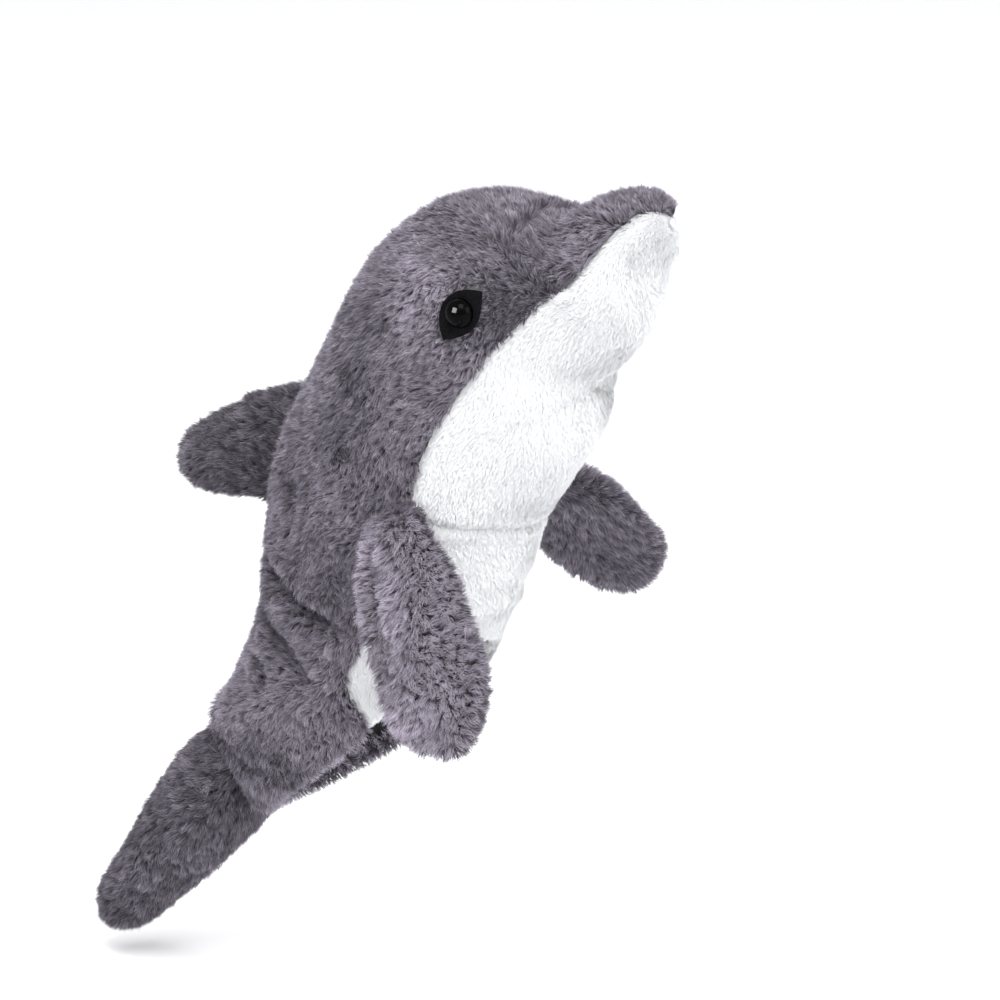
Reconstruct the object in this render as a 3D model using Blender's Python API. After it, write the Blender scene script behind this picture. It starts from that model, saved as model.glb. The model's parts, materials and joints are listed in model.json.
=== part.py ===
"""Plush dolphin head cover for a driver: sewn fur panels, stuffing, a lined pocket and four sewn-on fins.

Frame: +X is the way the dolphin faces, +Z is up and the XZ plane is the mirror plane.
The origin is the middle of the closed end of the pocket, where the club head comes to rest.
Lengths in this file are millimetres until the solids are made, and angles are degrees.
"""

import math

import bmesh
import bpy
import numpy as np
from mathutils import Matrix, Vector

for leftover in list(bpy.data.objects):
    bpy.data.objects.remove(leftover, do_unlink=True)

MM = 0.001

# ---------------------------------------------------------------- body outline
# One row per section, from the tip of the beak, over the head and down to the mouth:
# back x, back z, front x, front z, half width, drop of the two sides below the section plane.
BODY_SECTIONS = np.array(
    (
        (138, 132, 139, 127, 3, 0),
        (135, 139, 138, 117, 17, 0),
        (127, 144, 136, 106, 29, 0),
        (114, 145, 133, 96, 37, 0),
        (96, 139, 131, 86, 42, 0),
        (77, 127, 128, 77, 46, 0),
        (59, 133, 124, 68, 56, 0),
        (32, 137, 118, 59, 62, 0),
        (2, 130, 110, 49, 66, 0),
        (-26, 109, 102, 41, 68, 0),
        (-49, 75, 101, 30, 70, 0),
        (-69, 37, 97, 16, 71, 0),
        (-88, 0, 88, 0, 71, 0),
        (-96, -27, 74, -21, 70, 0),
        (-99, -55, 60, -41, 68, 0),
        (-102, -84, 54, -60, 66, 0),
        (-108, -110, 48, -78, 64, 0),
        (-121, -137, 42, -90, 63, 1),
        (-137, -170, 36, -98, 62, 4),
        (-111, -214, 31, -106, 61, 7),
    ),
    float,
)
# Angle from the front, at each section, of the seam between the grey side and the white front.
SIDE_SEAM = np.array(
    (140, 131, 112, 97, 89, 84, 76, 70, 66, 65, 68, 72, 72, 69, 67, 70, 72, 73, 70, 64),
    float,
)
CREASE = 5.0
POCKET_END = 12.0
CHEST_SEAM = 14.0
MOUTH = 19.0
ROW_STEP = 0.5
HEM_ROWS = (18.25, 18.75)
FRONT_COLUMNS = 8
SIDE_COLUMNS = 9

# ---------------------------------------------------------------- fabrics
FUR_FABRIC = 4.5
SEAM_GAP = 0.25
FILL_GAP = 0.45
LINING_OUTSIDE = 6.9
LINING_THICK = 1.5
ELASTIC_OUTSIDE = 5.0
ELASTIC_THICK = 0.9
ELASTIC_SPAN = (18.5, 18.75)

# ---------------------------------------------------------------- eyes
EYE_SECTION = 8.3
EYE_ANGLE = 87.6
EYE_RADIUS = 8.0
EYE_HEIGHT = 6.6
EYE_BASE_LIFT = 2.2
STEM_RADIUS = 2.4
STEM_HOLE = 2.8
STEM_END = 8.6
WASHER_RADIUS = 7.0
WASHER_TOP = 5.5
WASHER_THICK = 1.4
WASHER_POCKET_RADIUS = 7.8
WASHER_POCKET_END = 9.6
PATCH_LENGTH = 35.0
PATCH_WIDTH = 22.0
PATCH_LIFT = 0.4
PATCH_THICK = 1.2
PATCH_DIRECTION = (0.66, 0.0, 0.75)

# ---------------------------------------------------------------- fins
# The stuffing's root ring is drawn in more than its other rings, so that it clears the body as a fin swings.
ROOT_GAP = 0.6
SEAM_HALF_GAP = 0.2
ARC_STEPS = 6
STATION_STEP = 0.67
FIN_FABRIC = 4.0
FIN_FILL_GAP = 1.7
ROOT_FILL_INSET = 8
ROOT_FILL_LEAST = 1.6
STATIONS_WITHOUT_FILL = 2


# ================================================================ shape of the body
def cubic(table, where):
    """The rows of a table joined by smooth curves, read at fractional row numbers."""
    where = np.asarray(where, float)
    first = np.clip(np.floor(where).astype(int), 0, len(table) - 2)
    t = (where - first).reshape(where.shape + (1,) * (table.ndim - 1))
    last = len(table) - 1
    a, b, c, d = (table[np.clip(first + k, 0, last)] for k in (-1, 0, 1, 2))
    bend = 2 * a - 5 * b + 4 * c - d
    return b + 0.5 * t * (c - a + t * (bend + t * (3 * (b - c) + d - a)))


def body_point(section, angle):
    """A point of the outer skin. Angle 0 is the front, half a turn the back, and the right side between."""
    row = cubic(BODY_SECTIONS, section)
    back_x, back_z, front_x, front_z, half_width, drop = np.moveaxis(row, -1, 0)
    forward = (1 + np.cos(angle)) / 2
    x = back_x + (front_x - back_x) * forward
    z = back_z + (front_z - back_z) * forward - drop * np.sin(angle) ** 2
    return np.stack((x, -half_width * np.sin(angle), z), -1)


def body_slopes(section, angle):
    """How the skin point moves per section and per radian."""
    step = 0.01
    down = body_point(section + step, angle) - body_point(section - step, angle)
    around = body_point(section, angle + step) - body_point(section, angle - step)
    return down / (2 * step), around / (2 * step)


def unit(vectors):
    return vectors / np.linalg.norm(vectors, axis=-1, keepdims=True)


def skin_point(section, angle, depth):
    """The point this deep under the outer skin, square to it. A negative depth is outside."""
    section, angle = np.broadcast_arrays(np.asarray(section, float), np.asarray(angle, float))
    down, around = body_slopes(section, angle)
    return body_point(section, angle) - unit(np.cross(around, down)) * np.asarray(depth, float)[..., None]


def seam_angle(section):
    return np.radians(cubic(SIDE_SEAM[:, None], section)[..., 0])


def front_angles(section):
    """Angles across the white front, from the left seam to the right seam."""
    edge = seam_angle(section)
    return edge * np.linspace(-1, 1, FRONT_COLUMNS + 1)


def right_angles(section):
    """Angles across the grey right side, from its front seam to the middle of the back."""
    return np.linspace(seam_angle(section), math.pi, SIDE_COLUMNS + 1)


def rows_between(first, last):
    """Evenly spaced rows, with more where the body turns in to its hem."""
    even = np.linspace(first, last, round((last - first) / ROW_STEP) + 1)
    return np.sort(np.concatenate((even, [row for row in HEM_ROWS if first < row < last])))


def gap_sheet(rows, angles):
    """Sections and angles of a panel, drawn in at its four edges by the seam gap."""
    section = np.repeat(rows[:, None], angles.shape[1], 1)
    angle = angles.copy()
    for edge, inward in ((0, 1), (-1, -1)):
        down, around = body_slopes(section[:, edge], angle[:, edge])
        angle[:, edge] += inward * SEAM_GAP / np.linalg.norm(around, axis=-1)
    for edge, inward in ((0, 1), (-1, -1)):
        down, around = body_slopes(section[edge], angle[edge])
        section[edge] += inward * SEAM_GAP / np.linalg.norm(down, axis=-1)
    return section, angle


# ================================================================ making solids
def fabric(name, colour, roughness, metallic=0.0):
    material = bpy.data.materials.new(name)
    material.use_nodes = True
    shader = material.node_tree.nodes["Principled BSDF"]
    shader.inputs["Base Color"].default_value = (*colour, 1.0)
    shader.inputs["Roughness"].default_value = roughness
    shader.inputs["Metallic"].default_value = metallic
    return material


def solid(name, points, faces, material, pivot=(0, 0, 0)):
    """One closed body, its faces turned outwards, with its object origin at the pivot."""
    pivot = Vector(pivot) * MM
    mesh = bpy.data.meshes.new(name)
    shape = bmesh.new()
    corners = [shape.verts.new(Vector(point) * MM - pivot) for point in np.asarray(points, float).tolist()]
    for face in faces:
        shape.faces.new([corners[index] for index in face])
    bmesh.ops.recalc_face_normals(shape, faces=shape.faces)
    for face in shape.faces:
        face.smooth = True
    shape.to_mesh(mesh)
    shape.free()
    mesh.materials.append(material)
    made = bpy.data.objects.new(name, mesh)
    made.location = pivot
    bpy.context.scene.collection.objects.link(made)
    return made


def quads(rows, columns, start=0, wrap=False):
    """The four-sided faces of a grid of points, numbered row by row."""
    across = columns if wrap else columns - 1
    faces = []
    for row in range(rows - 1):
        for column in range(across):
            near = start + row * columns
            far = near + columns
            beside = (column + 1) % columns
            faces.append((near + column, near + beside, far + beside, far + column))
    return faces


def thick_sheet(name, outer, inner, material, pivot=(0, 0, 0)):
    """A sheet with four edges, between an outer and an inner grid of points."""
    rows, columns = outer.shape[:2]
    count = rows * columns
    faces = quads(rows, columns) + quads(rows, columns, count)
    top = list(range(columns))
    bottom = [count - columns + column for column in range(columns)]
    left = [row * columns for row in range(rows)]
    right = [row * columns + columns - 1 for row in range(rows)]
    for edge in (top, bottom, left, right):
        for a, b in zip(edge, edge[1:]):
            faces.append((a, b, b + count, a + count))
    points = np.concatenate((outer.reshape(-1, 3), inner.reshape(-1, 3)))
    return solid(name, points, faces, material, pivot)


def lathe_loop(rings):
    """Faces that join closed rings of points in order and the last ring to the first."""
    rows, columns = rings.shape[:2]
    faces = quads(rows, columns, wrap=True)
    last = (rows - 1) * columns
    for column in range(columns):
        beside = (column + 1) % columns
        faces.append((last + column, last + beside, beside, column))
    return faces


def ring_solid(name, rings, material):
    """A solid with a hole through it, such as a washer or a band."""
    return solid(name, rings.reshape(-1, 3), lathe_loop(rings), material)


def capped_solid(name, rings, first_tip, last_tip, material, pivot=(0, 0, 0)):
    """A solid from one tip point over closed rings to another tip point."""
    rows, columns = rings.shape[:2]
    faces = quads(rows, columns, wrap=True)
    last = (rows - 1) * columns
    tips = (rows * columns, rows * columns + 1)
    for column in range(columns):
        beside = (column + 1) % columns
        faces.append((tips[0], column, beside))
        faces.append((tips[1], last + column, last + beside))
    points = np.concatenate((rings.reshape(-1, 3), [first_tip], [last_tip]))
    return solid(name, points, faces, material, pivot)


# ================================================================ body pieces
def skin_panel(name, rows, angles, material):
    section, angle = gap_sheet(rows, angles)
    outer = skin_point(section, angle, 0)
    inner = skin_point(section, angle, FUR_FABRIC)
    return thick_sheet(name, outer, inner, material)


def side_panels(material):
    rows = rows_between(CREASE, MOUTH)
    right = np.array([right_angles(row) for row in rows])
    left = 2 * math.pi - right[:, ::-1]
    return (
        skin_panel("side_panel_right", rows, right, material),
        skin_panel("side_panel_left", rows, left, material),
    )


def beak_panel(material):
    rows = rows_between(0, CREASE)
    right = np.array([right_angles(row) for row in rows])
    both = np.concatenate((right, 2 * math.pi - right[:, -2::-1]), 1)
    skin_panel("beak_panel", rows, both, material)


def front_panels(material):
    for name, first, last in (("chin_panel", 0, CHEST_SEAM), ("belly_panel", CHEST_SEAM, MOUTH)):
        rows = rows_between(first, last)
        skin_panel(name, rows, np.array([front_angles(row) for row in rows]), material)


def all_round(section):
    """Angles right round a section, with a column on every seam."""
    right = right_angles(section)
    return np.concatenate((front_angles(section)[:-1], right, 2 * math.pi - right[-2:0:-1]))


def inner_ring(section, depth):
    return skin_point(section, all_round(section), depth)


def head_stuffing(material):
    """Fills the beak and the head down to the closed end of the pocket."""
    depth = FUR_FABRIC + FILL_GAP
    rings = np.array([inner_ring(row, depth) for row in rows_between(1, POCKET_END - ROW_STEP)])
    bottom = inner_ring(POCKET_END - 0.15, depth)
    rings = np.concatenate((rings, bottom[None]))
    return capped_solid("head_stuffing", rings, rings[0].mean(0), bottom.mean(0), material)


def pocket_lining(material):
    """A sock with a flat closed end in the plane z = 0, open at the mouth."""
    top_rows = ((0.4, 0.0), (0.8, 0.0))
    side_rows = (12.25, 12.75, 13.5, 14, 14.5, 15, 16, 17, 17.5, 18, 18.25, *ELASTIC_SPAN, 18.87)
    outer, inner = [], []
    for share, height in top_rows:
        flat = inner_ring(POCKET_END, LINING_OUTSIDE + LINING_THICK)
        flat[:, :2] *= share
        flat[:, 2] = height
        inner.append(flat)
        outer.append(flat + (0, 0, LINING_THICK))
    for row in side_rows:
        outer.append(inner_ring(row, LINING_OUTSIDE))
        inner.append(inner_ring(row, LINING_OUTSIDE + LINING_THICK))
    outer.append(inner_ring(MOUTH - 0.01, ELASTIC_OUTSIDE))
    inner.append(inner_ring(MOUTH - 0.01, ELASTIC_OUTSIDE + LINING_THICK))
    rings = np.array(outer + inner[::-1])
    return capped_solid("pocket_lining", rings, (0, 0, LINING_THICK), (0, 0, 0), material)


def hem_elastic(material):
    rings = [
        inner_ring(ELASTIC_SPAN[0], ELASTIC_OUTSIDE),
        inner_ring(ELASTIC_SPAN[1], ELASTIC_OUTSIDE),
        inner_ring(ELASTIC_SPAN[1], ELASTIC_OUTSIDE + ELASTIC_THICK),
        inner_ring(ELASTIC_SPAN[0], ELASTIC_OUTSIDE + ELASTIC_THICK),
    ]
    ring_solid("hem_elastic", np.array(rings), material)


# ================================================================ eyes
def tangent_frame(section, angle, width_hint, thick_hint):
    """Skin point, outward normal, and two directions in the skin nearest to the hints."""
    middle = body_point(np.float64(section), np.float64(angle))
    down, around = body_slopes(np.float64(section), np.float64(angle))
    normal = unit(np.cross(around, down))
    width = unit(np.asarray(width_hint, float) - normal * np.dot(width_hint, normal))
    thick = np.cross(normal, width)
    if np.dot(thick, thick_hint) < 0:
        thick = -thick
    return middle, normal, width, thick


def near_point(section, angle, offset, depth):
    """The skin point reached by small steps in the skin, given as vectors, from a section and angle."""
    slopes = np.stack(body_slopes(np.float64(section), np.float64(angle)), -1)
    steps = offset @ np.linalg.pinv(slopes).T
    return skin_point(section + steps[..., 0], angle + steps[..., 1], depth)


def lathe(profile, columns, middle, axis):
    """Rings of a turned shape: (radius, height) pairs about an axis through a point."""
    across = unit(np.cross(axis, (0.0, 0.0, 1.0)))
    other = np.cross(axis, across)
    turn = np.linspace(0, 2 * math.pi, columns, endpoint=False)[:, None]
    rim = np.cos(turn) * across + np.sin(turn) * other
    return np.array([middle + rim * radius + axis * height for radius, height in profile])


def eye_patch(name, angle, material):
    middle, normal, width, thick = tangent_frame(EYE_SECTION, angle, PATCH_DIRECTION, (0, 0, 1))
    turn = np.linspace(0, 2 * math.pi, 24, endpoint=False)[:, None]
    along, across = np.cos(turn), np.sin(turn)
    hole = STEM_HOLE * (along * width + across * thick)
    rim = PATCH_LENGTH / 2 * along * width + PATCH_WIDTH / 2 * across * np.abs(across) * thick
    under, over = [], []
    for share in (0, 0.35, 0.7, 1):
        offset = hole * (1 - share) + rim * share
        under.append(near_point(EYE_SECTION, angle, offset, -PATCH_LIFT))
        over.append(near_point(EYE_SECTION, angle, offset, -PATCH_LIFT - PATCH_THICK))
    ring_solid(name, np.array(under + over[::-1]), material)


def eye_dome(name, angle, material):
    middle, normal, width, thick = tangent_frame(EYE_SECTION, angle, PATCH_DIRECTION, (0, 0, 1))
    base = middle + normal * EYE_BASE_LIFT
    profile = [(STEM_RADIUS, -STEM_END - EYE_BASE_LIFT), (STEM_RADIUS, 0), (EYE_RADIUS - 0.3, 0)]
    for step in range(6):
        lean = math.radians(6 + 14 * step)
        profile.append((EYE_RADIUS * math.cos(lean), EYE_HEIGHT * math.sin(lean)))
    rings = lathe(profile, 20, base, normal)
    stem_end = base - normal * (STEM_END + EYE_BASE_LIFT)
    capped_solid(name, rings, stem_end, base + normal * EYE_HEIGHT, material)


def eye_washer(name, angle, material):
    middle, normal, width, thick = tangent_frame(EYE_SECTION, angle, PATCH_DIRECTION, (0, 0, 1))
    low = -WASHER_TOP - WASHER_THICK
    profile = ((STEM_HOLE, low), (WASHER_RADIUS, low), (WASHER_RADIUS, -WASHER_TOP), (STEM_HOLE, -WASHER_TOP))
    ring_solid(name, lathe(profile, 20, middle, normal), material)


def cut_round(target, name, angle, radius, low, high):
    """Takes a round hole, square to the skin at the eye, out of a piece."""
    middle, normal, width, thick = tangent_frame(EYE_SECTION, angle, PATCH_DIRECTION, (0, 0, 1))
    rings = lathe(((radius, low), (radius, high)), 20, middle, normal)
    material = target.data.materials[0]
    cutter = capped_solid(name, rings, middle + normal * low, middle + normal * high, material)
    cutter.hide_render = True
    cutter.display_type = "WIRE"
    hole = target.modifiers.new(name, "BOOLEAN")
    hole.operation = "DIFFERENCE"
    hole.solver = "EXACT"
    hole.object = cutter


def eyes(panels, stuffing, patch_material, eye_material, washer_material):
    for side, panel, angle in zip(("right", "left"), panels, (EYE_ANGLE, 360 - EYE_ANGLE)):
        angle = math.radians(angle)
        eye_patch("eye_patch_" + side, angle, patch_material)
        eye_dome("eye_" + side, angle, eye_material)
        eye_washer("eye_washer_" + side, angle, washer_material)
        cut_round(panel, "stem_hole_" + side, angle, STEM_HOLE, -12, 6)
        cut_round(stuffing, "washer_pocket_" + side, angle, WASHER_POCKET_RADIUS, -WASHER_POCKET_END, 6)


# ================================================================ fins
class Fin:
    """A stuffed fin of two panels, lofted from its sewn root on the body through rings of given half axes."""

    def __init__(self, section, angle, root, width_hint, thick_hint, relief):
        self.section, self.angle = section, math.radians(angle)
        self.half_width, self.half_thick = root
        self.relief = math.tan(math.radians(relief))
        frame = tangent_frame(section, self.angle, width_hint, thick_hint)
        self.middle, self.normal, self.width, self.thick = frame
        self.stations = []
        self.swing = Matrix.Identity(4)
        self.pivot = self.middle + self.normal * ROOT_GAP

    def add(self, centre, half_width, half_thick, width, thick):
        width = unit(np.asarray(width, float))
        thick = unit(np.asarray(thick, float))
        self.stations.append((np.asarray(centre, float), half_width, half_thick, width, thick))

    def swing_by(self, pivot, axis, angle):
        """Lays the whole fin over, about its hinge."""
        there = Matrix.Translation(Vector(pivot))
        turn = Matrix.Rotation(math.radians(angle), 4, Vector(axis))
        self.swing = there @ turn @ there.inverted()
        self.pivot = pivot

    def root_ring(self, inset, turn, seam_side, share=1.0):
        """A ring on the skin, lifted off it more and more away from the hinge line."""
        wide = max(self.half_width - inset, ROOT_FILL_LEAST) * np.cos(turn) * share
        thick = self.across(max(self.half_thick - inset, ROOT_FILL_LEAST), turn, seam_side) * share
        offset = wide[:, None] * self.width + thick[:, None] * self.thick
        return near_point(self.section, self.angle, offset, -ROOT_GAP - self.relief * np.abs(thick))

    @staticmethod
    def across(half_thick, turn, seam_side):
        height = half_thick * np.sin(turn)
        if seam_side:
            height = seam_side * np.maximum(seam_side * height, SEAM_HALF_GAP)
        return height

    def rings(self, inset, turn, seam_side, stations, root_inset=0.0):
        rows = [self.root_ring(inset + root_inset, turn, seam_side)]
        for centre, half_width, half_thick, width, thick in self.stations[:stations]:
            wide = (half_width - inset) * np.cos(turn)
            high = self.across(half_thick - inset, turn, seam_side)
            rows.append(centre + wide[:, None] * width + high[:, None] * thick)
        steps = np.linspace(0, stations, round(stations / STATION_STEP) + 1)
        return cubic(np.array(rows), steps)

    def placed(self, points):
        turned = np.array(self.swing)
        return points @ turned[:3, :3].T + turned[:3, 3]

    def panel(self, name, seam_side, material):
        turn = np.linspace(0, math.pi, ARC_STEPS + 1) * seam_side
        last = len(self.stations)
        outer = self.placed(self.rings(0, turn, seam_side, last))
        inner = self.placed(self.rings(FIN_FABRIC, turn, seam_side, last))
        thick_sheet(name, outer, inner, material, self.pivot)

    def stuffing(self, name, material):
        turn = np.linspace(0, 2 * math.pi, 2 * ARC_STEPS, endpoint=False)
        inset = FIN_FABRIC + FIN_FILL_GAP
        body = self.rings(inset, turn, 0, len(self.stations) - STATIONS_WITHOUT_FILL, ROOT_FILL_INSET)
        root = [self.root_ring(inset + ROOT_FILL_INSET, turn, 0, share) for share in (0.3, 0.65)]
        rings = self.placed(np.concatenate((root, body)))
        start = self.placed(self.root_ring(inset, turn[:1], 0, 0.0)[0])
        capped_solid(name, rings, start, rings[-1].mean(0), material, self.pivot)


def tail(fur, fill):
    fin = Fin(18.5, 180, (40, 24), (0, 1, 0), (0, 0, 1), 13)
    spine = (
        ((-136, -205), 42.5, 28.5),
        ((-150, -223), 41, 27.5),
        ((-171, -248), 38, 23.5),
        ((-189, -269), 34, 20),
        ((-202, -285), 28, 16),
        ((-209, -294), 19, 10.5),
        ((-212, -298), 8, 4.3),
    )
    along = np.array((-0.61, 0, -0.79))
    for (x, z), half_width, half_thick in spine:
        fin.add((x, 0, z), half_width, half_thick, (0, 1, 0), np.cross((0, 1, 0), along))
    fin.panel("tail_upper_panel", 1, fur)
    fin.panel("tail_lower_panel", -1, fur)
    fin.stuffing("tail_stuffing", fill)


def dorsal_fin(fur, fill):
    fin = Fin(12.55, 180, (38, 15), (-0.2, 0, 1), (0, -1, 0), 19)
    spine = (
        ((-107, -15), 32, 17),
        ((-122, -18), 27, 17),
        ((-140, -23), 22.5, 15.5),
        ((-153, -26), 18.5, 13),
        ((-162, -29), 12, 9),
        ((-166, -30), 5, 4.3),
    )
    for (x, z), half_width, half_thick in spine:
        fin.add((x, 0, z), half_width, half_thick, (-0.2, 0, 0.98), (0, -1, 0))
    fin.panel("dorsal_fin_panel_right", 1, fur)
    fin.panel("dorsal_fin_panel_left", -1, fur)
    fin.stuffing("dorsal_fin_stuffing", fill)


def flipper(side, angle, root_line, hang, lay, fur, fill):
    """A flipper sewn on along its top edge. It is made hanging, and then laid out by the angle given."""
    fin = Fin(13.35, angle, (17, 8.5), root_line, (0, 0, 1), 0)
    hang = unit(np.asarray(hang, float))
    width = unit(fin.width - hang * np.dot(fin.width, hang))
    face = np.cross(hang, width)
    if np.dot(face, fin.normal) < 0:
        face = -face
    rows = (
        (8, 5, 20, 9.0),
        (12, 21, 27, 9.5),
        (12, 46, 32.5, 10),
        (11, 74, 34.5, 10),
        (10, 99, 32, 9.5),
        (9, 117, 25, 8.5),
        (8, 128, 15, 6.5),
        (8, 133, 6, 4.3),
    )
    for index, (out, down, half_width, half_thick) in enumerate(rows):
        thick = fin.thick + face if index == 0 else face
        fin.add(fin.middle + fin.normal * out + hang * down, half_width, half_thick, width, thick)
    pivot = fin.middle + fin.thick * fin.half_thick + fin.normal * ROOT_GAP
    fin.swing_by(pivot, fin.width, lay)
    fin.panel("flipper_%s_outer_panel" % side, 1, fur)
    fin.panel("flipper_%s_inner_panel" % side, -1, fur)
    fin.stuffing("flipper_%s_stuffing" % side, fill)


def build():
    grey = fabric("grey_fur", (0.145, 0.128, 0.155), 0.95)
    white = fabric("white_fur", (0.88, 0.89, 0.91), 0.95)
    fill = fabric("polyester_fill", (0.86, 0.86, 0.84), 1.0)
    black = fabric("black_lining", (0.012, 0.012, 0.014), 0.85)
    rubber = fabric("elastic", (0.7, 0.7, 0.68), 0.8)
    felt = fabric("black_felt", (0.01, 0.01, 0.012), 0.9)
    gloss = fabric("black_gloss_plastic", (0.006, 0.006, 0.008), 0.08)
    clear = fabric("washer_plastic", (0.75, 0.75, 0.72), 0.4)
    panels = side_panels(grey)
    beak_panel(grey)
    front_panels(white)
    stuffing = head_stuffing(fill)
    pocket_lining(black)
    hem_elastic(rubber)
    eyes(panels, stuffing, felt, gloss, clear)
    tail(grey, fill)
    dorsal_fin(grey, fill)
    flipper("right", 72, (0.83, 0, 0.55), (0.49, -0.33, -0.81), 0, grey, fill)
    flipper("left", 290, (0.9, 0, 0.43), (0.13, 0.36, -0.92), 32, grey, fill)


build()
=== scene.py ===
"""Looks of the plush dolphin head cover: pile, skins, lining, eyes, light and camera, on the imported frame.

Lengths are millimetres until a mesh is made, and angles in tables are degrees from the front.
The outlines of the body, the fins and the eyes follow the solids, so each piece lies where its solid is.
The stage, lights and camera are in metres.
"""

import json
import math

import bpy
import numpy as np
from mathutils import Matrix, Vector
from mathutils.kdtree import KDTree

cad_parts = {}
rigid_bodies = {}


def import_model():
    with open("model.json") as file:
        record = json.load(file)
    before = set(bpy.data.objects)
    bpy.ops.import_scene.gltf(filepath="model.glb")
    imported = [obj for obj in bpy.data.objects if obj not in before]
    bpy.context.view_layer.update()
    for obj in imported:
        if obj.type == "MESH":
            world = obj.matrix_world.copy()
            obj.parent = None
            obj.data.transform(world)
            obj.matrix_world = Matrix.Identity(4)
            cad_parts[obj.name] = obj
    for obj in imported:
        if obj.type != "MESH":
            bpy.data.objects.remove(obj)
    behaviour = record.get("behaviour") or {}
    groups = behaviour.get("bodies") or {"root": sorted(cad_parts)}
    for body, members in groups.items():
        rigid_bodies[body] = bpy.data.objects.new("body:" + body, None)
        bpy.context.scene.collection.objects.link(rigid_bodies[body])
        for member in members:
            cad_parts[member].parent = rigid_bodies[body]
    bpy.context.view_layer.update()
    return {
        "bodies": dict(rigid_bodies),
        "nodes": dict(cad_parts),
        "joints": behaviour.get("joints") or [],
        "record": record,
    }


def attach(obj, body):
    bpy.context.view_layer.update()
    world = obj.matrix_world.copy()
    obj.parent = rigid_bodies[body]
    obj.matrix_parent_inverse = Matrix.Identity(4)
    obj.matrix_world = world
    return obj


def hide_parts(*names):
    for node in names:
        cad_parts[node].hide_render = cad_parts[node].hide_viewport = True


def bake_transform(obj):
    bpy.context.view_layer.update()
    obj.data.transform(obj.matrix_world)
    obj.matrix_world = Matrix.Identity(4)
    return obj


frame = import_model()

MM = 0.001

# ---- body outline
# One row per section, from the tip of the beak, over the head and down to the mouth:
# back x, back z, front x, front z, half width, drop of the two sides below the section plane.
BODY_SECTIONS = np.array([
    (138, 132, 139, 127, 3, 0),
    (135, 139, 138, 117, 17, 0),
    (127, 144, 136, 106, 29, 0),
    (114, 145, 133, 96, 37, 0),
    (96, 139, 131, 86, 42, 0),
    (77, 127, 128, 77, 46, 0),
    (59, 133, 124, 68, 56, 0),
    (32, 137, 118, 59, 62, 0),
    (2, 130, 110, 49, 66, 0),
    (-26, 109, 102, 41, 68, 0),
    (-49, 75, 101, 30, 70, 0),
    (-69, 37, 97, 16, 71, 0),
    (-88, 0, 88, 0, 71, 0),
    (-96, -27, 74, -21, 70, 0),
    (-99, -55, 60, -41, 68, 0),
    (-102, -84, 54, -60, 66, 0),
    (-108, -110, 48, -78, 64, 0),
    (-121, -137, 42, -90, 63, 1),
    (-137, -170, 36, -98, 62, 4),
    (-111, -214, 31, -106, 61, 7),
], float)
# Angle from the front, at each section, of the seam between the grey side and the white front.
SIDE_SEAM = np.array(
    (140, 131, 112, 97, 89, 84, 76, 70, 66, 65, 68, 72, 72, 69, 67, 70, 72, 73, 72, 68),
    float,
)
CREASE = 5.0
POCKET_END = 12.0
CHEST_SEAM = 14.0
MOUTH = 19.0

# ---- skin under the pile
# The body runs on past the mouth: one more section rolls the hem in, and one goes back up inside.
HEM_ROLL = 2.6
HEM_INSIDE = 0.55
LAST_ROW = 20.7
GREY_DEPTH = 5.0
WHITE_DEPTH = 2.7
EYE_DEPTH = 1.9
BEAK_DEPTH = ((0, 1, 2, 3), (0.16, 0.6, 0.88, 1.0))
CHIN_TIP = 4.5
CHIN_TIP_SPAN = ((0, 0.3, 1.6), (0.4, 1.0, 0.0))
SKIN_THICK = 1.4
SKIN_WAVES = ((26, 5, 0.8), (11, 6, 0.35))

# Sewn lines and soft folds: depth, half breadth, roll of cloth beside it,
# and points (section, angle from the front).
SEAM_GROOVE = (2.0, 2.2, 0.3)
BACK_GROOVE = (1.2, 2.4, 0.2)
SEWN_LINES = (
    (5.5, 3.6, 1.0, ((5.75, 178), (5.6, 168), (5.7, 150), (5.95, 130), (5.85, 118), (5.6, 102), (5.2, 88))),
    (1.5, 2.4, 0.5, ((13.3, 66), (13.6, 50), (13.85, 28), (14.0, 10), (14.0, 0))),
    (1.1, 3.8, 0.3, ((9.2, 0), (9.4, 10), (9.9, 21), (10.6, 33), (10.9, 44))),
)
RIGHT_FOLDS = (
    (7.5, 4.6, 3, (
        (14.1, 150), (14.4, 143), (14.85, 125), (15.3, 111), (15.75, 97), (16.1, 86), (16.35, 75),
    )),
    (6.6, 4.6, 2.8, ((15, 158), (15.4, 143), (15.8, 130), (16.3, 114), (16.8, 102), (17.4, 91), (17.9, 82))),
    (4.6, 4.0, 2.0, ((16.2, 137), (16.8, 124), (17.2, 114), (17.6, 106))),
    (4.6, 4.4, 2.2, ((17.0, 153), (17.7, 149), (18.2, 141), (18.55, 128), (18.7, 114))),
    (3.0, 5.5, 1.6, ((12.6, 130), (13.1, 119), (13.9, 119), (14.5, 124))),
    (4.2, 5.0, 1.8, ((14.0, 91), (14.7, 87), (15.3, 88), (15.9, 82))),
    (3.2, 4.0, 1.4, ((15.2, 110), (15.55, 96), (15.7, 80))),
)
LEFT_FOLDS = (
    (6.8, 4.8, 2.8, ((14.4, 150), (14.7, 136), (15.1, 121), (15.5, 104), (15.8, 90), (16.3, 78))),
    (5.6, 4.6, 2.4, ((15.5, 154), (15.9, 139), (16.5, 121), (17.1, 105), (17.6, 92))),
    (4.2, 4.2, 1.8, ((16.9, 150), (17.5, 137), (18.1, 122), (18.6, 108))),
    (1.9, 4.4, 0.9, ((12.9, 136), (13.5, 122), (14.1, 112))),
    (2.2, 4.2, 1.0, ((16.6, 98), (17.2, 88), (17.9, 84))),
)
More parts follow.
